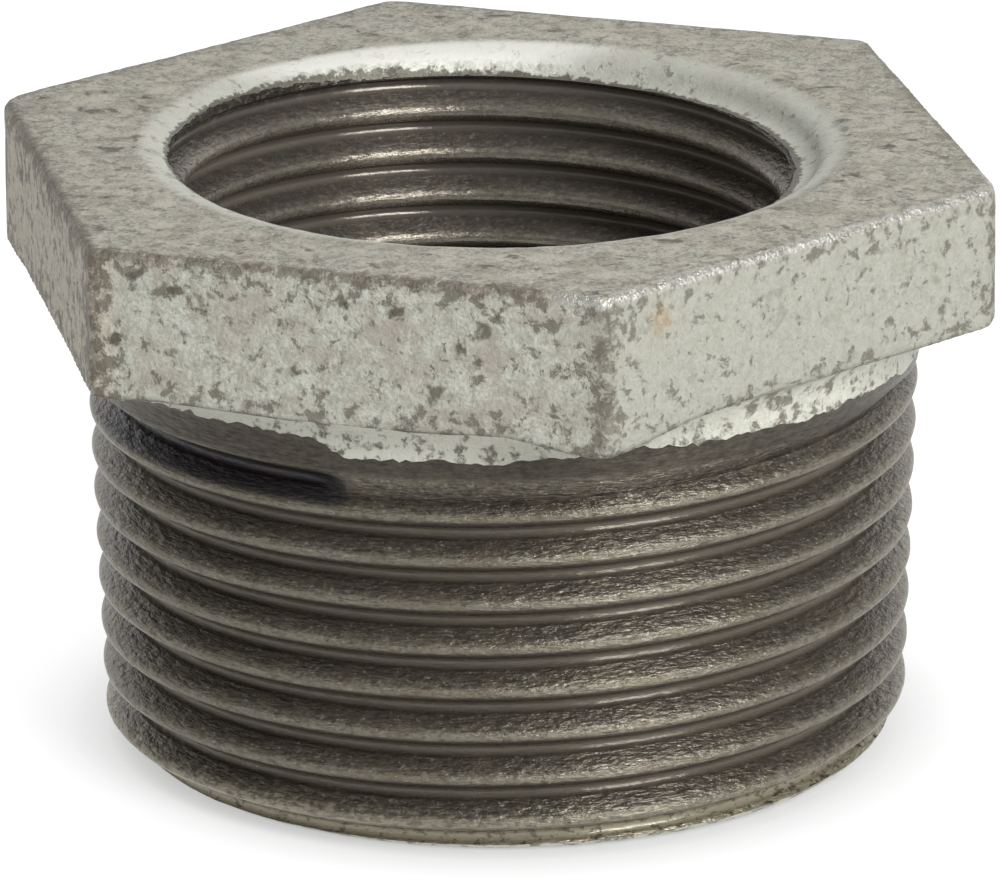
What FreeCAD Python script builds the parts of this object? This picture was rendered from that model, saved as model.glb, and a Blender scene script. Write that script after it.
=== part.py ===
"""Hex bushing, 1 1/4 x 1: a one-piece reducing fitting for threaded steel pipe.

A malleable iron casting with a hexagon head for the wrench.  The male end carries
the tapered pipe thread R 1 1/4, and the bore is sized to be tapped through Rp 1.

Frame: millimetres, +Z up.  The part stands on its threaded end.  The origin is on
the axis of the male thread, in the plane of that end, and two corners of the
hexagon lie on the X axis.
"""

import FreeCAD, Part

import math
import os

import Sketcher

# Driving dimensions in millimetres and degrees; each has its own cell in the sheet.
DIMENSIONS = {
    # The casting
    "overall_length": 31.0,
    "across_flats": 46.0,
    "hex_height": 7.5,
    "edge_rounding": 0.5,
    "collar_length": 2.9,
    "collar_step": 0.15,
    "neck_flare": 0.9,
    # The male end, R 1 1/4: 11 threads per inch, the diameter growing 1 in 16
    "gauge_diameter": 41.91,
    "gauge_length": 12.7,
    "taper_ratio": 16.0,
    "lead_diameter": 38.0,
    "lead_height": 1.6,
    "pitch": 2.309,
    "flank_angle": 27.5,
    "runout_gap": 1.0,
    "stop_bearing": 356.0,
    "cutter_overrun": 0.2,
    # The bore, a little off the axis of the male thread
    "bore_diameter": 30.291,
    "bore_shift_x": -0.9,
    "bore_shift_y": -0.3,
    "bore_chamfer": 0.8,
    # The cast recess round the mouth of the bore, and the dish round the recess
    "recess_margin": 1.15,
    "recess_depth": 1.5,
    "recess_foot": 0.4,
    "dish_width": 1.2,
    "dish_depth": 0.5,
}

# The 55 degree thread form: its depth and its flats, as shares of the pitch
DEPTH_SHARE = "0.640327"
FLAT_SHARE = "1 / 6"

# Levels that more than one feature works from
UNDERSIDE = "(dims.overall_length - dims.hex_height)"
SHOULDER = f"({UNDERSIDE} - dims.collar_length)"

doc = FreeCAD.newDocument("bushing")


def make_sheet():
    """Write each driving dimension into a named cell."""
    sheet = doc.addObject("Spreadsheet::Sheet", "dims")
    for row, (name, value) in enumerate(DIMENSIONS.items(), start=1):
        sheet.set(f"A{row}", name)
        sheet.set(f"B{row}", str(value))
        sheet.setAlias(f"B{row}", name)
    doc.recompute()


def datum(body, role):
    """Find one of the body's own origin planes or axes."""
    return next(item for item in body.Origin.OriginFeatures if item.Role == role)


def new_sketch(body, name, role, height=None):
    """Attach a sketch to a datum plane, raised by an expression if one is given."""
    sketch = body.newObject("Sketcher::SketchObject", name)
    sketch.AttachmentSupport = (datum(body, role), "")
    sketch.MapMode = "FlatFace"
    if height:
        sketch.setExpression("AttachmentOffset.Base.z", height)
    return sketch


def hold(sketch, kind, items, expression):
    """Add a sketch dimension that follows an expression on the sheet's cells."""
    value = float(sketch.evalExpression(expression))
    index = sketch.addConstraint(Sketcher.Constraint(kind, *items, value))
    sketch.setExpression(f"Constraints[{index}]", expression)


def draw_outline(sketch, corners):
    """Draw a closed polygon; each corner is a pair of expressions, across and up."""
    places = [
        FreeCAD.Vector(float(sketch.evalExpression(x)), float(sketch.evalExpression(y)), 0)
        for x, y in corners
    ]
    count = len(corners)
    for index in range(count):
        line = Part.LineSegment(places[index], places[(index + 1) % count])
        sketch.addGeometry(line, False)
    for index, (x, y) in enumerate(corners):
        sketch.addConstraint(
            Sketcher.Constraint("Coincident", index, 2, (index + 1) % count, 1)
        )
        hold(sketch, "DistanceX", (-1, 1, index, 1), x)
        hold(sketch, "DistanceY", (-1, 1, index, 1), y)


def confirm_cut(body, volume_before):
    """Stop if the newest feature took nothing off the solid."""
    if body.Tip.Shape.Volume > volume_before - 1:
        raise RuntimeError(f"{body.Tip.Name} cut nothing")


def turn_male_end(body):
    """Revolve the turned male end and the cast collar that flares up to the head.

    The revolved seams lie on the YZ plane, clear of the thread's start on the XZ plane.
    """
    sketch = new_sketch(body, "male_profile", "YZ_Plane")
    radius_at = "(dims.gauge_diameter + ({0} - dims.gauge_length) / dims.taper_ratio) / 2"
    shoulder = radius_at.format(SHOULDER)
    collar = f"{shoulder} + dims.collar_step"
    inside_head = f"{UNDERSIDE} + dims.hex_height / 2"
    draw_outline(sketch, [
        ("0", "0"),
        ("dims.lead_diameter / 2", "0"),
        (radius_at.format("dims.lead_height"), "dims.lead_height"),
        (shoulder, SHOULDER),
        (collar, SHOULDER),
        (collar, f"{UNDERSIDE} - dims.neck_flare"),
        (f"{collar} + dims.neck_flare", UNDERSIDE),
        (f"{collar} + dims.neck_flare", inside_head),
        ("0", inside_head),
    ])
    male_end = body.newObject("PartDesign::Revolution", "male_end")
    male_end.Profile = sketch
    male_end.ReferenceAxis = (sketch, ["V_Axis"])
    male_end.Angle = 360
    doc.recompute()


def cast_head(body):
    """Pad the hexagon, with two of its corners on the X axis, and soften its edges."""
    sketch = new_sketch(body, "hexagon", "XY_Plane", UNDERSIDE)
    reach = "dims.across_flats / sqrt(3)"
    draw_outline(sketch, [
        (f"{reach} * cos({turn})", f"{reach} * sin({turn})") for turn in range(0, 360, 60)
    ])
    head = body.newObject("PartDesign::Pad", "head")
    head.Profile = sketch
    head.setExpression("Length", "dims.hex_height")
    doc.recompute()

    # The hexagon's own edges end at its corners, which lie outside its flats.
    flat_reach = DIMENSIONS["across_flats"] / 2
    underside = DIMENSIONS["overall_length"] - DIMENSIONS["hex_height"]
    outer_edges = [
        f"Edge{number}" for number, edge in enumerate(head.Shape.Edges, start=1)
        if all(
            math.hypot(*corner.Point[:2]) > flat_reach * 1.01
            and corner.Point.z > underside - 0.01
            for corner in edge.Vertexes
        )
    ]
    soft_edges = body.newObject("PartDesign::Fillet", "soft_edges")
    soft_edges.Base = (head, outer_edges)
    soft_edges.setExpression("Radius", "dims.edge_rounding")
    doc.recompute()


def sink_recess(body):
    """Revolve away the shallow dish and the flat-bottomed recess inside it."""
    volume_before = body.Tip.Shape.Volume
    sketch = new_sketch(body, "recess_profile", "YZ_Plane")
    top = "dims.overall_length"
    above = f"{top} + dims.recess_depth"
    floor = f"{top} - dims.recess_depth"
    wall = "dims.bore_diameter / 2 + dims.recess_margin"
    dish = f"{wall} + dims.dish_width"
    draw_outline(sketch, [
        ("0", floor),
        (f"{wall} - dims.recess_foot", floor),
        (wall, f"{floor} + dims.recess_foot"),
        (wall, f"{top} - dims.dish_depth"),
        (dish, top),
        (dish, above),
        ("0", above),
    ])
    recess = body.newObject("PartDesign::Groove", "recess")
    recess.Profile = sketch
    recess.ReferenceAxis = (sketch, ["V_Axis"])
    recess.Angle = 360
    doc.recompute()
    confirm_cut(body, volume_before)


def bore_through(body):
    """Bore the fitting from end to end and break the edge at the lower end."""
    volume_before = body.Tip.Shape.Volume
    sketch = new_sketch(body, "bore_circle", "XY_Plane")
    centre = FreeCAD.Vector(DIMENSIONS["bore_shift_x"], DIMENSIONS["bore_shift_y"], 0)
    radius = DIMENSIONS["bore_diameter"] / 2
    sketch.addGeometry(Part.Circle(centre, FreeCAD.Vector(0, 0, 1), radius), False)
    hold(sketch, "DistanceX", (-1, 1, 0, 3), "dims.bore_shift_x")
    hold(sketch, "DistanceY", (-1, 1, 0, 3), "dims.bore_shift_y")
    hold(sketch, "Diameter", (0,), "dims.bore_diameter")
    bore = body.newObject("PartDesign::Pocket", "bore")
    bore.Profile = sketch
    bore.Type = "ThroughAll"
    bore.Reversed = True
    doc.recompute()
    confirm_cut(body, volume_before)

    lower_mouth = [
        f"Edge{number}" for number, edge in enumerate(bore.Shape.Edges, start=1)
        if edge.BoundBox.ZMax < 0.01 and edge.Length < 2 * math.pi * (radius + 0.01)
    ]
    bore_edge = body.newObject("PartDesign::Chamfer", "bore_edge")
    bore_edge.Base = (bore, lower_mouth)
    bore_edge.setExpression("Size", "dims.bore_chamfer")
    doc.recompute()


def cut_male_thread(body):
    """Cut the tapered right-hand thread: a flat-rooted groove swept along a helix."""
    volume_before = body.Tip.Shape.Volume

    # Whole turns and the last part turn, up from clear below the end of the fitting
    last_turn = "dims.stop_bearing / 360"
    top = f"({SHOULDER} - dims.runout_gap)"
    turns = f"(ceil({top} / dims.pitch - {last_turn} + 0.4) + {last_turn})"
    level = f"({top} - {turns} * dims.pitch)"
    surface = f"(dims.gauge_diameter + ({level} - dims.gauge_length) / dims.taper_ratio) / 2"
    depth = f"{DEPTH_SHARE} * dims.pitch"
    half_root = f"{FLAT_SHARE} * dims.pitch / 2"
    half_mouth = f"({half_root} + ({depth} + dims.cutter_overrun) * tan(dims.flank_angle))"

    path = doc.addObject("Part::Helix", "thread_path")
    path.setExpression("Pitch", "dims.pitch")
    path.setExpression("Height", f"{turns} * dims.pitch")
    path.setExpression("Radius", surface)
    path.setExpression("Angle", "atan(1 / (2 * dims.taper_ratio))")
    path.setExpression("Placement.Base.z", level)
    path.SegmentLength = 1
    sketch = new_sketch(body, "thread_groove", "XZ_Plane")
    draw_outline(sketch, [
        (f"{surface} - {depth}", f"{level} - {half_root}"),
        (f"{surface} + dims.cutter_overrun", f"{level} - {half_mouth}"),
        (f"{surface} + dims.cutter_overrun", f"{level} + {half_mouth}"),
        (f"{surface} - {depth}", f"{level} + {half_root}"),
    ])
    doc.recompute()
    thread = body.newObject("PartDesign::SubtractivePipe", "male_thread")
    thread.Profile = sketch
    thread.Spine = (path, [f"Edge{number + 1}" for number in range(len(path.Shape.Edges))])
    thread.Mode = "Frenet"
    doc.recompute()
    confirm_cut(body, volume_before)


def build_bushing():
    """Build the fitting in the order in which it is cast and then machined."""
    body = doc.addObject("PartDesign::Body", "hex_bushing")
    body.Label = "hex_bushing"
    body.Placement = FreeCAD.Placement()
    turn_male_end(body)
    cast_head(body)
    sink_recess(body)
    bore_through(body)
    cut_male_thread(body)
    return body


def check_document():
    """Stop if any object of the document failed to build."""
    for item in doc.Objects:
        if "Invalid" in item.State or "Error" in item.State:
            raise RuntimeError(f"{item.Name} failed: {item.State}")
        if item.isDerivedFrom("PartDesign::Feature"):
            if item.Shape.isNull() or not item.Shape.isValid():
                raise RuntimeError(f"{item.Name} has no valid shape")


def write_step(body):
    """Write the finished solid to its file."""
    if len(body.Shape.Solids) != 1:
        raise RuntimeError(f"{body.Label} has {len(body.Shape.Solids)} solids")
    os.makedirs("parts", exist_ok=True)
    body.Shape.exportStep(f"parts/{body.Label}.step")
    print(body.Label, "volume", round(body.Shape.Volume, 1), "faces", len(body.Shape.Faces))


make_sheet()
bushing = build_bushing()
doc.recompute()
check_document()
write_step(bushing)
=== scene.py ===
import math

import bmesh
import bpy
from mathutils import Matrix, Vector, noise


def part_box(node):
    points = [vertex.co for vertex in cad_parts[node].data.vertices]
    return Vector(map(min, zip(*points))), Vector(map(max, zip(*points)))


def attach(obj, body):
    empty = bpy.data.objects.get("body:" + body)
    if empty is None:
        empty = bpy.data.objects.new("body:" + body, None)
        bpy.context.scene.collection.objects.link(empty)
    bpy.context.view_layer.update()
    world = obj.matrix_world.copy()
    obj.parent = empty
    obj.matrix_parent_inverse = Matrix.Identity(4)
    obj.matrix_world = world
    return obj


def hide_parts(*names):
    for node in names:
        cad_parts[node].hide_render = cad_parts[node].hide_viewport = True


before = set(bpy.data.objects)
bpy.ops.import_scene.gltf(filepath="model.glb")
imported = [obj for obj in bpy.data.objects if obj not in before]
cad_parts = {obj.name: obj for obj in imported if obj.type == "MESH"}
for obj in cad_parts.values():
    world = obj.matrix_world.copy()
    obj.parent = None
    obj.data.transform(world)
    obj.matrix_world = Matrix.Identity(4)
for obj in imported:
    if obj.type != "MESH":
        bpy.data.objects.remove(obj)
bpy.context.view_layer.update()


# ---------------------------------------------------------------------------
# The rough casting: a hexagon head on a round neck, malleable iron poured in
# green sand and hot-dip galvanised.  Its faces are a little uneven, its edges
# are worn, and a dish and a recess are cast round the mouth of the bore.
# ---------------------------------------------------------------------------
# Sizes without MM beside them are in millimetres.  Centres are measured from
# the male thread's axis, and bearings are in degrees from +X toward +Y.
MM = 0.001
node_low, node_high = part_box("hex_bushing")
length = node_high.z
across_flats = node_high.y - node_low.y
corner_reach = across_flats / math.sqrt(3)
head_height = 7.5 * MM
head_centre = (-0.44, -0.14)
recess_centre = (-0.2, -0.07)
bore_centre = (-0.9, -0.3)
corner_wear = {180: 0.8, -120: 0.22, -60: 0.22, 0: 0.7, 60: 0.4, 120: 0.8}
top_wear = 0.3
under_wear = 0.12
plug_radius = 6
skin_size = 0.36 * MM

# The head's lower edge sags: {bearing: (depth, reach)}.  The sag comes in over
# a little radius and dies away up the side.
head_sag = {
    -60: (0.85, 4.0), -90: (0.5, 9.0), -120: (0.22, 4.0), 60: (0.3, 6.0), 180: (0.25, 5.0),
}
sag_radius = 24.5
sag_inside, sag_blend = 22.3, 0.6
sag_top, sag_fade = 26, 2.4

# Lumps of the sand and the zinc: (size, strength)
sand_lumps = [(7.0, 0.10), (2.2, 0.05), (1.0, 0.04)]

# Outlines are lists of (radius, height)
neck_outline = [
    (14, 0), (18.9, 0), (19.2, 0.1), (19.4, 0.3), (21.36, 2.3), (21.36, 22.2),
    (21.5, 22.8), (21.9, 23.3), (22.5, 23.55), (22.5, 26), (14, 26),
]
recess_outline = [
    (13, 29.5), (15.7, 29.5), (16.05, 29.6), (16.25, 29.9), (16.35, 30.35),
    (16.65, 30.58), (17.2, 30.82), (18.0, 31.0), (18.6, 31.15), (18.6, 33), (13, 33),
]
core_outline = [(4, -2), (14.6, -2), (14.6, 34), (4, 34)]


def nothing_selected():
    """Leaves edit mode, with no object selected."""
    if bpy.context.object and bpy.context.object.mode != "OBJECT":
        bpy.ops.object.mode_set(mode="OBJECT")
    bpy.ops.object.select_all(action="DESELECT")


def take(piece):
    """Makes one piece the only one selected."""
    nothing_selected()
    piece.select_set(True)
    bpy.context.view_layer.objects.active = piece


def pick_edges(piece, wanted):
    """Opens a piece and selects the edges that pass a test."""
    take(piece)
    bpy.ops.object.mode_set(mode="EDIT")
    bpy.ops.mesh.select_mode(type="EDGE")
    bpy.ops.mesh.select_all(action="DESELECT")
    shape = bmesh.from_edit_mesh(piece.data)
    for edge in shape.edges:
        edge.select = bool(wanted(edge.verts[0].co, edge.verts[1].co))
    shape.select_flush_mode()
    bmesh.update_edit_mesh(piece.data)


def finish_step(piece, kind, **settings):
    """Adds a modifier with its settings and applies it."""
    take(piece)
    stage = piece.modifiers.new(kind.lower(), kind)
    for name, value in settings.items():
        setattr(stage, name, value)
    bpy.ops.object.modifier_apply(modifier=stage.name)


def machine(body, tool, operation="DIFFERENCE"):
    """Cuts a tool's shape from the body, or adds it, and puts the tool away."""
    finish_step(
        body, "BOOLEAN",
        operation=operation, solver="MANIFOLD", material_mode="TRANSFER", object=tool,
    )
    bpy.data.objects.remove(tool)


def turned(name, outline, finish, steps, centre=(0.0, 0.0)):
    """A ring: a closed outline of (radius, height) in mm, spun round its axis."""
    nothing_selected()
    bpy.ops.mesh.primitive_circle_add(vertices=len(outline), radius=MM)
    piece = bpy.context.object
    piece.name = piece.data.name = name
    piece.data.materials.append(finish)
    for vertex, (radius, height) in zip(piece.data.vertices, outline):
        vertex.co = Vector((centre[0] + radius, centre[1], height)) * MM
    bpy.ops.object.mode_set(mode="EDIT")
    bpy.ops.mesh.select_all(action="SELECT")
    axis_foot = (centre[0] * MM, centre[1] * MM, 0)
    bpy.ops.mesh.spin(steps=steps, angle=2 * math.pi, center=axis_foot, axis=(0, 0, 1))
    bpy.ops.mesh.select_all(action="SELECT")
    bpy.ops.mesh.remove_doubles(threshold=0.0001 * MM)
    bpy.ops.mesh.normals_make_consistent(inside=False)
    nothing_selected()
    return piece


def polar(point, centre=(0.0, 0.0)):
    """Radius and level in mm, and bearing in degrees, of a point."""
    x, y = point.x / MM - centre[0], point.y / MM - centre[1]
    return math.hypot(x, y), point.z / MM, math.degrees(math.atan2(y, x))


def set_radius(vertex, radius, centre=(0.0, 0.0)):
    """Moves a vertex out or in to a radius in mm."""
    middle = Vector(centre) * MM
    vertex.co.xy = middle + (vertex.co.xy - middle).normalized() * radius * MM


# Hexagon, with two of its corners on X
zinc = bpy.data.materials.new("galvanised_zinc")
nothing_selected()
bpy.ops.mesh.primitive_cylinder_add(
    vertices=6,
    radius=corner_reach,
    depth=head_height,
    location=(0, 0, length - head_height / 2),
    rotation=(0, 0, math.radians(30)),
)
bushing = bpy.context.object
bushing.name = bushing.data.name = "galvanised_bushing"
bushing.data.materials.append(zinc)
bpy.ops.object.transform_apply(location=True, rotation=True, scale=True)
for corner, wear in corner_wear.items():
    turn = math.radians(corner)
    at = Vector((math.cos(turn), math.sin(turn))) * corner_reach
    pick_edges(bushing, lambda a, b: max((a.xy - at).length, (b.xy - at).length) < MM)
    bpy.ops.mesh.bevel(offset=wear * MM, segments=4, affect="EDGES")
pick_edges(bushing, lambda a, b: min(a.z, b.z) > length - 0.01 * MM)
bpy.ops.mesh.bevel(offset=top_wear * MM, segments=2, affect="EDGES")
pick_edges(bushing, lambda a, b: max(a.z, b.z) < length - head_height + 0.01 * MM)
bpy.ops.mesh.bevel(offset=under_wear * MM, segments=1, affect="EDGES")
nothing_selected()
bushing.data.transform(Matrix.Translation(Vector((*head_centre, 0)) * MM))

# Neck, flared under the head and with a cone cast on its foot, and the dish
# and the recess round the mouth
machine(bushing, turned("neck", neck_outline, zinc, steps=180), "UNION")
machine(bushing, turned("recess", recess_outline, zinc, steps=240, centre=recess_centre))

# Core hole through the middle, left undersize for the tap
machine(bushing, turned("core", core_outline, zinc, steps=120, centre=bore_centre))
nothing_selected()
bpy.ops.mesh.primitive_cylinder_add(
    vertices=32, radius=plug_radius * MM, depth=40 * MM, location=(0, 0, 15 * MM),
)
centre_plug = bpy.context.object
centre_plug.data.materials.append(zinc)
machine(bushing, centre_plug)

# One even skin, softened, sagging at some corners where the mould gave way,
# and left a little lumpy by the sand and the zinc
finish_step(bushing, "REMESH", mode="VOXEL", voxel_size=skin_size)
finish_step(bushing, "SMOOTH", iterations=2)
for vertex in bushing.data.vertices:
    radius, level, bearing = polar(vertex.co, head_centre)
    hold = min(1, max(0, (radius - sag_inside) / sag_blend))
    hold *= min(1, max(0, (sag_top - level) / sag_fade))
    if hold > 0:
        sag = 0
        for at, (depth, reach) in head_sag.items():
            turn = (bearing - at + 180) % 360 - 180
            off = math.radians(turn) * sag_radius / reach
            sag = max(sag, depth * math.exp(-off * off))
        vertex.co.z -= sag * hold * MM
for lump, strength in sand_lumps:
    sand = bpy.data.textures.new("sand", "CLOUDS")
    sand.noise_scale = lump * MM
    finish_step(
        bushing, "DISPLACE",
        texture=sand, texture_coords="LOCAL", strength=strength * MM, mid_level=0.5,
    )


def node(tree, kind, sockets=None, **settings):
    """A node with its settings; a socket gets a number, a colour or another's output."""
    made = tree.nodes.new("ShaderNode" + kind)
    for name, value in settings.items():
        setattr(made, name, value)
    for key, value in (sockets or {}).items():
        if isinstance(value, bpy.types.NodeSocket):
            tree.links.new(value, made.inputs[key])
        else:
            made.inputs[key].default_value = value
    return made


def maths(tree, operation, a, b=0.0, clamp=False):
    return node(tree, "Math", {0: a, 1: b}, operation=operation, use_clamp=clamp).outputs[0]


def plus(tree, first, *others):
    for other in others:
        first = maths(tree, "ADD", first, other)
    return first


def times(tree, first, *others):
    for other in others:
        first = maths(tree, "MULTIPLY", first, other)
    return first


def most(tree, first, *others):
    for other in others:
        first = maths(tree, "MAXIMUM", first, other)
    return first


def less(tree, a, b):
    return maths(tree, "SUBTRACT", a, b)


def rest(tree, share):
    """What a share leaves of one."""
    return less(tree, 1.0, share)


def swing(tree, noise_value, width):
    """A noise of 0 to 1, swung about zero over a width."""
    return times(tree, less(tree, noise_value, 0.5), width)


def step(tree, value, low, high):
    """0 below low and 1 above high, with a soft step between; low may be above high."""
    return node(
        tree, "MapRange", {"Value": value, "From Min": low, "From Max": high},
        interpolation_type="SMOOTHSTEP",
    ).outputs["Result"]


def grain(tree, where, scale, detail=4.0, roughness=0.6, distortion=0.0):
    return node(tree, "TexNoise", {
        "Vector": where, "Scale": scale, "Detail": detail,
        "Roughness": roughness, "Distortion": distortion,
    }).outputs["Fac"]


def tint(tree, share, below, above):
    """The colour below, with a share of the colour above over it."""
    made = node(tree, "Mix", {"Factor": share}, data_type="RGBA")
    for key, value in ((6, below), (7, above)):
        if isinstance(value, bpy.types.NodeSocket):
            tree.links.new(value, made.inputs[key])
        else:
            made.inputs[key].default_value = (*value, 1)
    return made.outputs[2]


def coats(tree, colour, layers):
    """Lays (share, colour) coats over a colour, one after another."""
    for share, above in layers:
        colour = tint(tree, share, colour, above)
    return colour


def millimetres(tree):
    """The surface's own place in millimetres."""
    place = node(tree, "TexCoord").outputs["Object"]
    return node(tree, "VectorMath", {0: place, "Scale": 1000.0}, operation="SCALE").outputs[0]


def moved(tree, where, x, y):
    return node(tree, "VectorMath", {0: where, 1: (x, y, 0)}, operation="ADD").outputs[0]


def stretched(tree, where, x, y, z):
    return node(tree, "VectorMath", {0: where, 1: (x, y, z)}, operation="MULTIPLY").outputs[0]


def apart(tree, where):
    return node(tree, "SeparateXYZ", {0: where}).outputs


def distance_from_axis(tree, where, centre):
    """Distance in mm from an upright axis."""
    x, y = apart(tree, moved(tree, where, -centre[0], -centre[1]))[:2]
    flat = node(tree, "CombineXYZ", {0: x, 1: y}).outputs[0]
    return node(tree, "VectorMath", {0: flat}, operation="LENGTH").outputs["Value"]


# The zinc has weathered to a pale greenish grey bloom with brown-grey patches
# and dark pits.  It is rubbed bright along an edge, where a glint is also
# painted on, and worn to brown on others.
grey_zinc = (0.34, 0.335, 0.28)
pale_zinc = (0.57, 0.58, 0.505)
buff = (0.40, 0.37, 0.31)
brown_grey = (0.345, 0.300, 0.252)
straw_stain_and_light = (0.57, 0.505, 0.395)
umber = (0.27, 0.235, 0.175)
dusk = (0.185, 0.158, 0.112)
light_cloud = (0.64, 0.62, 0.53)
chalk = (0.70, 0.69, 0.59)
painted_shade_grey = (0.31, 0.31, 0.26)
dirt_brown = (0.128, 0.110, 0.080)
pit_brown = (0.092, 0.076, 0.052)
edge_brown = (0.150, 0.128, 0.098)
rubbed_zinc_and_glint = (0.62, 0.61, 0.56)
dish_zinc_and_sheen = (0.66, 0.67, 0.59)
shade_and_rim_black = (0.085, 0.070, 0.050)
collar_zinc = (0.69, 0.69, 0.60)
rust_brown = (0.33, 0.205, 0.085)
highlight_white = (0.86, 0.86, 0.80)
rust_spot = (14.6, -20.1, 29.2)
key_side_bearing, far_side_bearing, highlight_bearing = -30, -150, 122
top_level, flat_reach, foot_rest = 31.0, 23.0, 23.4

zinc.use_nodes = True
tree = zinc.node_tree
shader = tree.nodes["Principled BSDF"]
where = millimetres(tree)
z = apart(tree, where)[2]
fine = grain(tree, where, 5.2, 3, 0.65)
mottle = grain(tree, where, 2.1, 4, 0.68, 0.1)
cloud = grain(tree, where, 0.75, 4, 0.6, 0.2)
patch = grain(tree, where, 0.42, 5, 0.62, 0.3)
fleck = grain(tree, where, 1.35, 5, 0.66, 0.25)
pit = grain(tree, stretched(tree, where, 1, 1, 1.01), 0.63, 4, 0.55, 0.3)
body = plus(tree, times(tree, fine, 0.45), times(tree, mottle, 0.55))
from_head = moved(tree, where, -head_centre[0], -head_centre[1])


def toward(bearing):
    """How far a place is from the head's axis toward a bearing, in mm."""
    facing = (math.cos(math.radians(bearing)), math.sin(math.radians(bearing)), 0)
    return node(
        tree, "VectorMath", {0: from_head, 1: facing}, operation="DOT_PRODUCT",
    ).outputs["Value"]


# Distances from the head's edges
across = most(tree, *(maths(tree, "ABSOLUTE", toward(bearing)) for bearing in (90, 30, -30)))
from_axis = distance_from_axis(tree, where, head_centre)
to_rim = less(tree, flat_reach, across)
from_top_edge = plus(tree, to_rim, less(tree, top_level, z))
foot_level = foot_rest
for bearing, (depth, reach) in head_sag.items():
    turn = math.radians(bearing)
    at = (sag_radius * math.cos(turn), sag_radius * math.sin(turn))
    off = times(tree, distance_from_axis(tree, from_head, at), 1 / reach)
    dip = times(tree, maths(tree, "EXPONENT", times(tree, off, off, -1.0)), depth)
    foot_level = maths(tree, "MINIMUM", foot_level, less(tree, foot_rest, dip))
from_foot_edge = plus(tree, to_rim, less(tree, z, foot_level))

# Places on the casting
top_edge = step(tree, from_top_edge, 0.95, 0.25)
corner = times(tree, step(tree, from_axis, 25.95, 26.4), step(tree, to_rim, 0.9, 0.4))
foot_edge = times(tree, step(tree, from_foot_edge, 0.55, 0.2), step(tree, to_rim, 1.0, 0.5))
near_corner = times(tree, step(tree, from_axis, 25.1, 26.4), step(tree, to_rim, 1.6, 0.6))
near_edge = most(
    tree, step(tree, from_top_edge, 2.6, 0.2),
    most(tree, near_corner, step(tree, from_foot_edge, 2.2, 0.2)),
)
on_top = times(tree, step(tree, z, 30.6, 30.9), step(tree, from_axis, 16.9, 17.8))
on_side = rest(tree, on_top)
on_collar = times(tree, step(tree, z, 23.5, 23.2), step(tree, from_axis, 23.6, 22.8))
on_collar = times(tree, on_collar, step(tree, to_rim, 0.3, 0.55))
in_dish = times(tree, step(tree, from_axis, 18.2, 17.4), step(tree, z, 28, 29))
# The side facing the lamp: cleaner, and darkened by a grey coat of painted shade
clean_side_and_shade = times(tree, step(tree, toward(key_side_bearing), 21.5, 22.6), on_side)
# The side away from the lamp: stained, and lightened as painted light
stained_side_and_light = times(tree, step(tree, toward(far_side_bearing), 21.5, 22.6), on_side)
clean = most(tree, times(tree, clean_side_and_shade, 0.7), times(tree, on_collar, 0.75))
dull = rest(tree, clean)
from_mouth = plus(tree, distance_from_axis(tree, where, bore_centre), swing(tree, mottle, 0.9))
# Painted highlight: a near-white patch on the back of the dish, where the lamp is reflected
dish_highlight = times(tree, in_dish, step(tree, toward(highlight_bearing), 13.2, 16.0))
dish_highlight = times(tree, dish_highlight, step(tree, from_mouth, 16.1, 16.5))
from_rust = node(
    tree, "VectorMath", {0: where, 1: rust_spot}, operation="DISTANCE",
).outputs["Value"]
rust = step(tree, plus(tree, from_rust, swing(tree, mottle, 4.0)), 1.2, 0.0)

# Dirt and wear gather along the edges; a painted glint, painted shade and painted light are laid in
# among them
dirt = plus(tree, fleck, times(tree, near_edge, 0.085), times(tree, stained_side_and_light, 0.045))
dirt = less(tree, dirt, times(tree, clean, 0.018))
dark = step(tree, dirt, 0.555, 0.675)
worn = most(tree, top_edge, most(tree, times(tree, corner, 0.85), foot_edge))
worn_patch = step(tree, plus(tree, worn, swing(tree, mottle, 3.4)), 0.50, 1.0)
# Rubbed zinc on the top edges of the side facing the lamp; its pale colour there is partly a
# painted glint
rubbed_and_glint = times(tree, worn_patch, top_edge, step(tree, toward(key_side_bearing), 19.5, 21.5))
# Painted shade: a broken dark line along the head's lower edge, where it meets the collar
painted_foot_shade = times(tree, foot_edge, step(tree, mottle, 0.36, 0.50), 0.75)
mouth_line = times(tree, in_dish, step(tree, from_mouth, 16.2, 16.05), 0.85)
# Painted light: more of the pale collar coat away from the lamp, in the shade under the head
collar_share_and_light = plus(tree, times(tree, step(tree, toward(key_side_bearing), 20.5, 13), 0.4), 0.45)

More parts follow.
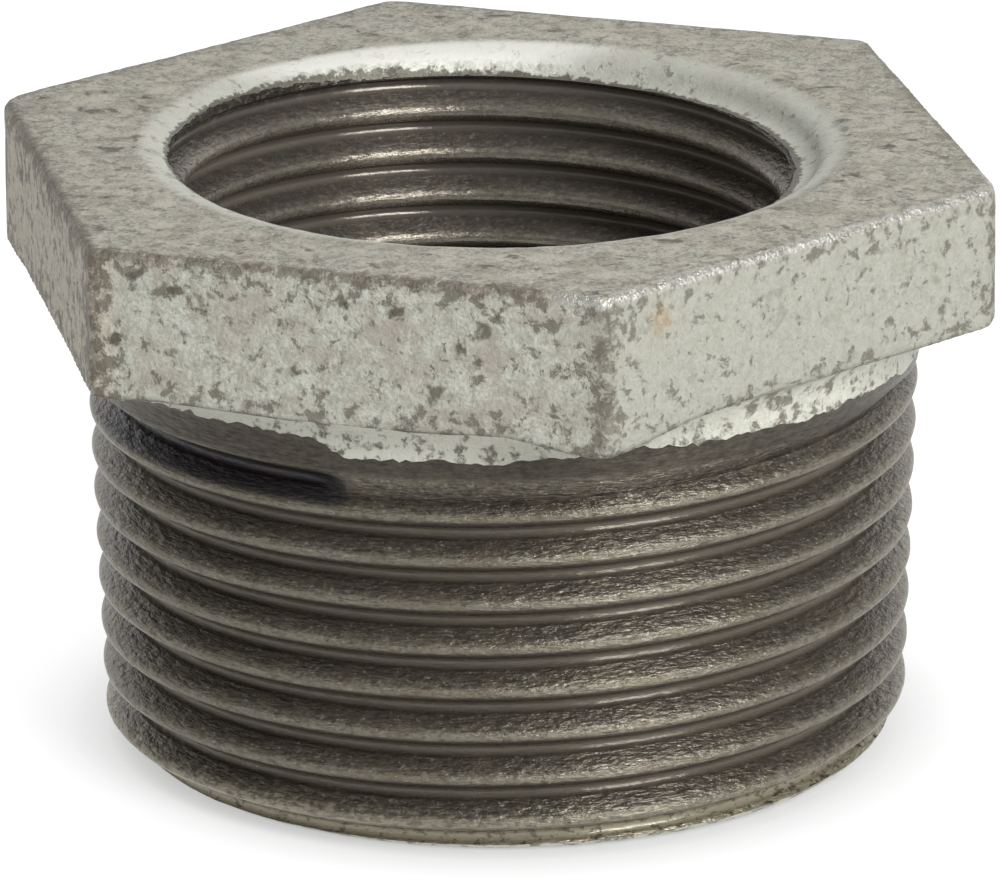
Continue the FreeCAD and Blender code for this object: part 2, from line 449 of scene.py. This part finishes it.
# Coats of colour, from the bloom up
side_stain_and_light = times(tree, stained_side_and_light, 0.7)
stain = most(tree, times(tree, on_top, step(tree, cloud, 0.42, 0.62), 0.45), side_stain_and_light)
dusky = most(tree, on_top, side_stain_and_light)
chalky = most(tree, on_top, stained_side_and_light)
colour = coats(tree, tint(tree, step(tree, body, 0.36, 0.62), grey_zinc, pale_zinc), [
    (times(tree, step(tree, cloud, 0.36, 0.62), dull, 0.4), buff),
    (times(tree, step(tree, patch, 0.50, 0.62), dull, 0.6), brown_grey),
    # Straw stains on the top, and painted light on the side away from the lamp
    (stain, straw_stain_and_light),
    (times(tree, on_top, step(tree, patch, 0.56, 0.42), 0.6), umber),
    (times(tree, dusky, step(tree, body, 0.50, 0.40), 0.5), dusk),
    (times(tree, on_top, step(tree, cloud, 0.50, 0.60), 0.35), light_cloud),
    (times(tree, chalky, step(tree, fine, 0.57, 0.69), 0.6), chalk),
    # Painted shade: a darker grey laid over the side facing the lamp
    (times(tree, clean_side_and_shade, 0.6), painted_shade_grey),
    (times(tree, dark, less(tree, 0.82, times(tree, on_top, 0.35))), dirt_brown),
    (times(tree, step(tree, pit, 0.60, 0.69), dull, 0.85), pit_brown),
    (times(tree, worn_patch, 0.66), edge_brown),
    (rubbed_and_glint, rubbed_zinc_and_glint),
    # The dish's pale zinc, lightened partly as painted sheen
    (times(tree, in_dish, rest(tree, times(tree, dark, 0.6)), 0.65), dish_zinc_and_sheen),
    (most(tree, painted_foot_shade, mouth_line), shade_and_rim_black),
    # The pale collar, thicker where painted light stands in the head's shade
    (times(tree, on_collar, rest(tree, dark), collar_share_and_light), collar_zinc),
    (times(tree, rust, 0.6), rust_brown),
    # The painted highlight on the back of the dish
    (times(tree, dish_highlight, 0.85), highlight_white),
])
bright = most(tree, rubbed_and_glint, times(tree, in_dish, rest(tree, dish_highlight), 0.3))
bright = most(tree, bright, times(tree, worn_patch, 0.35))
rough = plus(tree, times(tree, fine, 0.35), 0.36)
height = plus(tree, times(tree, mottle, 0.7), times(tree, fine, 0.5))
height = less(tree, height, times(tree, dark, 0.35))
height = times(tree, height, rest(tree, times(tree, in_dish, 0.45)))
bump = node(tree, "Bump", {"Height": height, "Strength": 1.0, "Distance": 0.13 * MM})
tree.links.new(colour, shader.inputs["Base Color"])
tree.links.new(maths(tree, "ADD", bright, 0.06, True), shader.inputs["Metallic"])
tree.links.new(less(tree, rough, times(tree, bright, 0.22)), shader.inputs["Roughness"])
tree.links.new(bump.outputs[0], shader.inputs["Normal"])


# ---------------------------------------------------------------------------
# The male end, R 1 1/4: the neck is turned to a taper of 1 in 16 after the
# galvanising, which leaves a ragged edge of zinc.  The right-hand 55 degree
# thread is run on with a die head, whose last half turn is a shallow cut.
# ---------------------------------------------------------------------------
pitch = 2.309
taper = 1 / 32
gauge_radius = 20.955
gauge_level = 12.7
thread_depth = 0.640327 * pitch
thread_rounding = 0.137329 * pitch
flank_angle = math.radians(27.5)
helix_level = 19.732
full_depth_stop = -94.0
die_stop = 75.0
soft_turn = 8.0
fade_turn = 38.0
neck_stock = 0.34
root_half_width = 0.1
wall_curve = 1.6
skim = 0.04
clearance = 0.03
tool_back = 30
well_outside = 25

# The turning tool's wall stands on a heel and ends in a flared lip
turning_foot, turning_rise = 19.0, 2.4
heel_level, heel_drop = 18.95, 0.04
lip_level, lip_rise, lip_flare = 21.6, 0.2, 0.12

# The zinc's edge is a list of (bearing, level), and the shallow cut's floor
# one of (bearing, radius)
zinc_edge = [
    (-285, 20.0), (-220, 20.4), (-180, 19.9), (-142, 19.95), (-137, 20.15), (-132.6, 20.66),
    (-129, 20.95), (-126, 21.25), (-113, 21.5), (-105, 21.56), (-99, 21.6), (-97, 21.4),
    (-94.6, 20.97), (-93, 20.7), (-86, 20.9), (-80, 20.85), (-68.6, 20.97), (-58, 21.22),
    (-50, 21.2), (-42, 21.1), (-33, 21.12), (-26, 20.97), (-15, 21.03), (-4, 20.86),
    (0, 20.62), (5.5, 20.2), (20, 20.1), (75, 20.0),
]
floor_radius = [(-94, 20.42), (-55, 20.40), (-30, 20.2), (5, 20.15), (30, 20.5), (75, 21.4)]


def taper_radius(level):
    return gauge_radius + (level - gauge_level) * taper


def read_off(table, at):
    """Straight-line reading from a table of (place, value)."""
    for (a0, v0), (a1, v1) in zip(table, table[1:]):
        if at <= a1:
            return v0 + (v1 - v0) * max(0, at - a0) / (a1 - a0)
    return table[-1][1]


def run_out(bearing):
    """Where the last turn's shallow cut meets the flank below it: (radius, level)."""
    floor = read_off(floor_radius, bearing)
    root_radius = taper_radius(helix_level) - thread_depth
    fall = (floor - root_radius) * math.tan(flank_angle)
    return floor, helix_level + pitch * bearing / 360 - root_half_width - fall


def run_out_radius(bearing, level):
    """Radius of the shallow cut's wall at a level; it leaves the neck as it ends."""
    floor, foot = run_out(bearing)
    edge = read_off(zinc_edge, bearing)
    up = min(1, max(0, (level - foot) / (edge - foot)))
    leaving = max(0, (bearing + fade_turn - die_stop) / fade_turn)
    wall = floor + (taper_radius(edge) - floor) * (1 - (1 - up) ** wall_curve)
    return wall + neck_stock * leaving


# Turning: the tool's path, drawn up or down to the zinc's ragged edge
cut_iron = bpy.data.materials.new("cut_iron")
wall_levels = [21.4, 21.1, 20.8, 20.5, 20.2, 19.9, 19.6, 19.3, turning_foot, heel_level, 10]
turning_outline = [
    (taper_radius(-2), -2), (tool_back, -2), (tool_back, 22.4),
    (taper_radius(lip_level) + lip_flare, lip_level),
]
turning_outline += [(taper_radius(level), level) for level in wall_levels]
turning = turned("turning", turning_outline, cut_iron, steps=420)
for vertex in turning.data.vertices:
    radius, level, bearing = polar(vertex.co)
    if radius > well_outside or level < heel_level - 0.05:
        continue
    turn = bearing - 360 if bearing > die_stop else bearing
    floor, foot = run_out(turn)
    edge = read_off(zinc_edge, turn)
    ragged = 0.13 * noise.noise(vertex.co * 700) + 0.22 * noise.noise(vertex.co * 2300)
    share = min(1, max(0, (level - turning_foot) / turning_rise))
    if turn < full_depth_stop:
        new_level = turning_foot + share * (edge + ragged - turning_foot)
        start = max(0, (die_stop - 360 + fade_turn - turn) / fade_turn)
        radius = taper_radius(new_level) - skim + neck_stock * start
    else:
        new_level = foot + share * (edge + ragged - foot)
        radius = run_out_radius(turn, new_level)
    if level > lip_level - 0.1:
        new_level += lip_rise
        radius += lip_flare
    if level < heel_level + 0.02:
        new_level = min(foot, turning_foot) - heel_drop
        radius = taper_radius(new_level)
    vertex.co.z = new_level * MM
    set_radius(vertex, radius)
machine(bushing, turning)


def thread_form(crest_out, root):
    """One pitch of the rounded 55 degree form, from crest to crest: (height, radius)."""
    arc = (math.pi / 2 - flank_angle) / 2
    crest = [
        (
            thread_rounding * math.sin(arc * i) - pitch / 2,
            thread_depth - thread_rounding * (1 - math.cos(arc * i)),
        )
        for i in range(3)
    ]
    hollow = [
        (thread_rounding * math.sin(arc * i), thread_rounding * (1 - math.cos(arc * i)))
        for i in range(-2, 1)
    ]
    flank = [((crest[-1][0] + hollow[0][0]) / 2, (crest[-1][1] + hollow[0][1]) / 2)]
    half_form = crest + flank + hollow
    whole = half_form + [(-z, d) for z, d in reversed(half_form[:-1])]
    return [(z, root + d * (1 if crest_out else -1)) for z, d in whole]


def wound(name, form, finish, level, bearing, turns, steps, far, centre=(0.0, 0.0)):
    """A thread form wound up a right-hand helix, and closed off at a far radius."""
    nothing_selected()
    bpy.ops.mesh.primitive_circle_add(vertices=len(form), radius=MM)
    piece = bpy.context.object
    piece.name = piece.data.name = name
    piece.data.materials.append(finish)
    around = Vector((math.cos(math.radians(bearing)), math.sin(math.radians(bearing)), 0))
    for vertex, (height, radius) in zip(piece.data.vertices, form):
        vertex.co = (around * radius + Vector((0, 0, level - turns * pitch + height))) * MM
    pick_edges(piece, lambda a, b: abs(a.z - b.z) > 0.9 * pitch * MM)
    bpy.ops.mesh.delete(type="EDGE")
    finish_step(
        piece, "SCREW",
        angle=2 * math.pi, steps=steps, render_steps=steps,
        screw_offset=pitch * MM, iterations=turns,
    )
    bpy.ops.object.mode_set(mode="EDIT")
    bpy.ops.mesh.select_all(action="SELECT")
    bpy.ops.mesh.remove_doubles(threshold=0.002 * MM)
    bpy.ops.mesh.select_all(action="DESELECT")
    bpy.ops.mesh.select_mode(type="EDGE")
    bpy.ops.mesh.select_non_manifold()
    bpy.ops.mesh.extrude_edges_move()
    shape = bmesh.from_edit_mesh(piece.data)
    for vertex in shape.verts:
        if vertex.select:
            vertex.co.xy = vertex.co.xy.normalized() * far * MM
    bmesh.update_edit_mesh(piece.data)
    bpy.ops.mesh.bridge_edge_loops()
    bpy.ops.mesh.select_all(action="SELECT")
    bpy.ops.mesh.normals_make_consistent(inside=False)
    nothing_selected()
    piece.data.transform(Matrix.Translation(Vector((*centre, 0)) * MM))
    return piece


# Die head: full depth up to its stop, then easing into the shallow cut
form = thread_form(True, taper_radius(0) - thread_depth)
die = wound(
    "die", form, cut_iron, level=helix_level + pitch * die_stop / 360, bearing=die_stop,
    turns=10, steps=288, far=tool_back,
)
for vertex in die.data.vertices:
    radius, level, bearing = polar(vertex.co)
    if radius > well_outside:
        continue
    wear = 0.012 * noise.noise(vertex.co * 1500) + 0.02 * noise.noise(vertex.co * 400)
    radius += level * taper + wear
    turn = bearing - 360 if bearing > die_stop + 0.2 else bearing
    above_root = level - helix_level - pitch * turn / 360
    least = run_out_radius(turn, level) + clearance
    rise = 1 + (turn - full_depth_stop) / soft_turn
    if 0 < rise <= 1 and -0.15 < above_root / pitch < 0.52:
        radius += rise * rise * max(0, least - radius)
    in_last_turn = abs(above_root) < pitch / 2 + 0.05 and level > run_out(turn)[1]
    if turn > full_depth_stop and in_last_turn:
        radius = max(radius, least)
    set_radius(vertex, radius)
machine(bushing, die)


def finish_group(name, inputs, outputs):
    """An empty node group with its inputs' values and its outputs' kinds."""
    tree = bpy.data.node_groups.new(name, "ShaderNodeTree")
    for socket, value in inputs:
        made = tree.interface.new_socket(socket, in_out="INPUT", socket_type="NodeSocketFloat")
        made.default_value = value
    for socket, kind in outputs:
        tree.interface.new_socket(socket, in_out="OUTPUT", socket_type="NodeSocket" + kind)
    given = tree.nodes.new("NodeGroupInput").outputs
    return tree, given, tree.nodes.new("NodeGroupOutput").inputs


# Bare iron: drawn out by the tool along the turn, torn and flecked on the
# flanks, smooth in the roots and lightened there as painted light, pale on the
# crests and dark with cutting oil and painted shade
flank_iron = (0.098, 0.085, 0.069)
crest_iron = (0.240, 0.219, 0.170)
tan_iron = (0.165, 0.140, 0.100)
cream_fleck = (0.47, 0.46, 0.36)
torn_black = (0.046, 0.038, 0.030)
root_iron_and_light = (0.150, 0.130, 0.100)
turned_dark = (0.036, 0.029, 0.022)
turned_pale = (0.092, 0.078, 0.056)
oil_and_shade_black = (0.030, 0.027, 0.032)
mealy_bloom = (0.40, 0.365, 0.27)

bare, given, made = finish_group(
    "bare_iron",
    [("Crest", 0.5), ("Turned", 0.0), ("Dark", 0.0), ("Bloom", 0.0)],
    [("Color", "Color"), ("Roughness", "Float"), ("Metallic", "Float"), ("Height", "Float")],
)
crest, turned_band = given["Crest"], given["Turned"]
place = millimetres(bare)
fine = grain(bare, stretched(bare, place, 1, 1, 1.4), 4.6, 3, 0.65)
torn = grain(bare, stretched(bare, place, 1, 1, 1.6), 1.9, 5, 0.7, 0.3)
streak = grain(bare, stretched(bare, place, 0.75, 0.75, 4), 1.6, 3, 0.6)
cloud = grain(bare, place, 0.45, 4, 0.6, 0.4)
flank = step(bare, crest, 0.05, 0.25)
paleness = plus(
    bare, times(bare, crest, crest, crest), swing(bare, fine, 2.4), swing(bare, torn, 2.2),
)
drawn = plus(bare, times(bare, torn, 0.6), times(bare, streak, 0.4))
bloom = step(bare, plus(bare, given["Bloom"], swing(bare, torn, 4.4)), 0.45, 0.8)

colour = coats(bare, tint(bare, step(bare, paleness, 0.0, 1.25), flank_iron, crest_iron), [
    (times(bare, step(bare, cloud, 0.46, 0.66), 0.5), tan_iron),
    (times(bare, step(bare, fine, 0.60, 0.72), flank, 0.6), cream_fleck),
    (times(bare, step(bare, torn, 0.42, 0.30), 0.45), torn_black),
    # Painted light: the roots get a paler iron to lift the groove's shade
    (times(bare, rest(bare, flank), 0.85), root_iron_and_light),
    (turned_band, tint(bare, step(bare, drawn, 0.36, 0.64), turned_dark, turned_pale)),
    (times(bare, given["Dark"], 0.85), oil_and_shade_black),
    (times(bare, bloom, given["Bloom"], 0.85), mealy_bloom),
])
rough = plus(bare, times(bare, flank, 0.10), times(bare, fine, 0.16), times(bare, torn, 0.16), 0.08)
metal = less(bare, less(bare, 0.78, times(bare, torn, 0.30)), times(bare, turned_band, 0.15))
metal = times(bare, metal, plus(bare, times(bare, flank, 0.55), 0.45))
height = plus(
    bare, times(bare, streak, plus(bare, times(bare, flank, 0.8), 0.2)),
    times(bare, torn, flank, 0.12), times(bare, fine, flank, 0.06),
)
height = times(bare, height, rest(bare, times(bare, turned_band, 0.6)))
results = {"Color": colour, "Roughness": rough, "Metallic": metal, "Height": height}
for socket, value in results.items():
    bare.links.new(value, made[socket])


def bare_finish(material, centre, radius, slope, inward, strength):
    """Sets up a cut thread's material; gives its tree, shader, group and place."""
    material.use_nodes = True
    tree = material.node_tree
    shader = tree.nodes["Principled BSDF"]
    where = millimetres(tree)
    distance = distance_from_axis(tree, where, centre)
    crest_radius = plus(tree, times(tree, apart(tree, where)[2], slope), radius)
    below = times(tree, less(tree, crest_radius, distance), -1.0 if inward else 1.0)
    crest = maths(tree, "SUBTRACT", 1.0, maths(tree, "DIVIDE", below, thread_depth), True)
    iron = node(tree, "Group", node_tree=bare)
    tree.links.new(crest, iron.inputs["Crest"])
    tree.links.new(iron.outputs["Color"], shader.inputs["Base Color"])
    tree.links.new(iron.outputs["Roughness"], shader.inputs["Roughness"])
    tree.links.new(iron.outputs["Metallic"], shader.inputs["Metallic"])
    shader.inputs["Anisotropic"].default_value = 0.85
    upward = node(tree, "CombineXYZ", {2: 1.0}).outputs[0]
    tree.links.new(upward, shader.inputs["Tangent"])
    bump = node(tree, "Bump", {
        "Height": iron.outputs["Height"], "Strength": strength, "Distance": 0.3 * MM,
    })
    tree.links.new(bump.outputs[0], shader.inputs["Normal"])
    return tree, shader, iron, where


# On the male end: a turned band at the top, oil and painted shade in the end
# of the full-depth groove, and a mealy bloom on the foot
tree, shader, iron, where = bare_finish(
    cut_iron, (0, 0), taper_radius(0), slope=taper, inward=False, strength=0.75,
)
x, y, z = apart(tree, where)
turn = times(tree, maths(tree, "ARCTAN2", y, x), 180 / math.pi)
over_root = less(tree, less(tree, z, helix_level), times(tree, turn, pitch / 360))
# Oil and painted shade: the end of the full-depth groove darkened under the head
oil_and_shade = times(tree, step(tree, over_root, -1.15, -0.7), step(tree, over_root, 0.9, 0.3))
oil_and_shade = times(tree, oil_and_shade, step(tree, turn, -91, -97), step(tree, turn, -175, -140))
tree.links.new(step(tree, z, 19.6, 20.3), iron.inputs["Turned"])
tree.links.new(oil_and_shade, iron.inputs["Dark"])
tree.links.new(step(tree, z, 3.6, 0.3), iron.inputs["Bloom"])


# ---------------------------------------------------------------------------
# The bore, Rp 1: tapped right through with the parallel thread, a little off
# the axis of the male end.  The tap has torn the zinc round the mouth, and
# smooth bare iron shows below it.
# ---------------------------------------------------------------------------
tap_level = 0.68
turns_above, turns_below = 14, 2
minor_radius = 15.1455
mouth_wall = 15.3
sliver = 0.001 * MM
crease = math.radians(42)
mouth_outline = [
    (12, 27.9), (14.9, 28.3), (15.75, 29.4), (15.85, 29.7), (15.95, 30.6), (16.0, 33), (12, 33),
]
warm_light_iron = (0.34, 0.305, 0.275)

bore_iron = bpy.data.materials.new("bore_iron")
mouth = turned("mouth", mouth_outline, bore_iron, steps=380, centre=bore_centre)
for vertex in mouth.data.vertices:
    radius = polar(vertex.co, bore_centre)[0]
    if radius > mouth_wall:
        tear = 0.08 * noise.noise(vertex.co * 1100) + 0.11 * noise.noise(vertex.co * 3000)
        set_radius(vertex, radius + tear, bore_centre)
machine(bushing, mouth)
form = thread_form(False, minor_radius + thread_depth)
tap = wound(
    "tap", form, bore_iron, level=tap_level + turns_above * pitch, bearing=0.0,
    turns=turns_above + turns_below, steps=144, far=8, centre=bore_centre,
)
machine(bushing, tap)

# Slivers left by the cutters cleaned off, and curved faces shaded smooth
take(bushing)
bpy.ops.object.mode_set(mode="EDIT")
bpy.ops.mesh.select_all(action="SELECT")
bpy.ops.mesh.dissolve_degenerate(threshold=sliver)
bpy.ops.mesh.delete_loose()
take(bushing)
bpy.ops.object.shade_smooth_by_angle(angle=crease)

tree, shader, iron, where = bare_finish(
    bore_iron, bore_centre, minor_radius, slope=0.0, inward=True, strength=0.35,
)
at_mouth = step(tree, apart(tree, where)[2], 28.7, 29.6)
# Painted light: the bore below the mouth is lightened with a warm paler iron
painted_bore_light = tint(tree, times(tree, rest(tree, at_mouth), 0.2), iron.outputs["Color"], warm_light_iron)
tree.links.new(times(tree, at_mouth, 0.3), iron.inputs["Bloom"])
tree.links.new(times(tree, at_mouth, 0.75), iron.inputs["Dark"])
tree.links.new(times(tree, iron.outputs["Roughness"], 0.8), shader.inputs["Roughness"])
tree.links.new(painted_bore_light, shader.inputs["Base Color"])

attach(bushing, "root")
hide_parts("hex_bushing")


# ---------------------------------------------------------------------------
# The studio: a white table and backdrop, a soft lamp high on the right, and
# the even light of a pale room.
# ---------------------------------------------------------------------------
foot_shade, foot_shade_reach = 0.55, 6 * MM


def white_card(name, board_grey, seen_grey, glow_strength):
    """White to the eye and in reflections, and a plain board to the light.

    What the eye sees is a little darker close round the bushing's foot.
    """
    card = bpy.data.materials.new(name)
    card.use_nodes = True
    tree = card.node_tree
    tree.nodes.remove(tree.nodes["Principled BSDF"])
    seen = node(tree, "LightPath").outputs
    looked_at = most(
        tree, seen["Is Camera Ray"], most(tree, seen["Is Glossy Ray"], seen["Is Transmission Ray"]),
    )
    open_air = node(tree, "AmbientOcclusion", {"Distance": foot_shade_reach}).outputs["AO"]
    shade = times(tree, rest(tree, open_air), seen["Is Camera Ray"], foot_shade)
    strength = times(tree, rest(tree, shade), glow_strength)
    board, seen_board = (
        node(tree, "BsdfDiffuse", {"Color": (grey, grey, grey, 1)}).outputs[0]
        for grey in (board_grey, seen_grey)
    )
    glow = node(tree, "Emission", {"Color": (1, 1, 1, 1), "Strength": strength}).outputs[0]
    both = node(tree, "AddShader", {0: seen_board, 1: glow}).outputs[0]
    chosen = node(tree, "MixShader", {"Fac": looked_at, 1: board, 2: both}).outputs[0]
    tree.links.new(chosen, tree.nodes["Material Output"].inputs["Surface"])
    return card


nothing_selected()
bpy.ops.mesh.primitive_plane_add(size=6)
floor = bpy.context.object
floor.name = "floor"
floor.data.materials.append(
    white_card("white_table", board_grey=0.85, seen_grey=0.2, glow_strength=0.94)
)

# Camera, a little to the right of the front and above
azimuth, elevation, roll = math.radians(18.08), 0.331, -0.0072
distance = 465.73 * MM
aim = Vector((-0.166, -0.054, 14.753)) * MM
lens = bpy.data.cameras.new("camera")
lens.sensor_width = 36
lens.lens = 327.67
lens.clip_end = 20
camera = bpy.data.objects.new("camera", lens)
bpy.context.scene.collection.objects.link(camera)
camera.matrix_world = (
    Matrix.Translation(aim)
    @ Matrix.Rotation(azimuth, 4, "Z")
    @ Matrix.Rotation(math.pi / 2 - elevation, 4, "X")
    @ Matrix.Rotation(roll, 4, "Z")
    @ Matrix.Translation((0, 0, distance))
)
bpy.context.scene.camera = camera

# Backdrop, square on behind the bushing
nothing_selected()
away = Vector((-math.sin(azimuth), math.cos(azimuth), 0))
bpy.ops.mesh.primitive_plane_add(size=1, rotation=(math.pi / 2, 0, azimuth))
backdrop = bpy.context.object
backdrop.name = "backdrop"
backdrop.scale = (2.2, 1.2, 1)
backdrop.location = away + Vector((0, 0, 0.59))
bpy.ops.object.transform_apply(location=True, rotation=True, scale=True)
backdrop.data.materials.append(
    white_card("white_backdrop", board_grey=0.6, seen_grey=0.6, glow_strength=0.8)
)

# Key lamp: a soft box, facing the bushing
lamp_side, lamp_rise, lamp_reach = math.radians(-33), math.radians(33), 0.55
box = bpy.data.lights.new("key_lamp", "AREA")
box.shape = "RECTANGLE"
box.size, box.size_y, box.energy = 0.23, 0.30, 2.8
lamp = bpy.data.objects.new("key_lamp", box)
bpy.context.scene.collection.objects.link(lamp)
target = Vector((0, 0, 0.015))
lamp.location = target + lamp_reach * Vector((
    math.cos(lamp_side) * math.cos(lamp_rise),
    math.sin(lamp_side) * math.cos(lamp_rise),
    math.sin(lamp_rise),
))
lamp.rotation_euler = (target - lamp.location).to_track_quat("-Z", "Y").to_euler()

world = bpy.data.worlds.new("room")
bpy.context.scene.world = world
world.use_nodes = True
world.node_tree.nodes["Background"].inputs["Color"].default_value = (0.42, 0.42, 0.42, 1)
bpy.context.scene.view_settings.view_transform = "Standard"
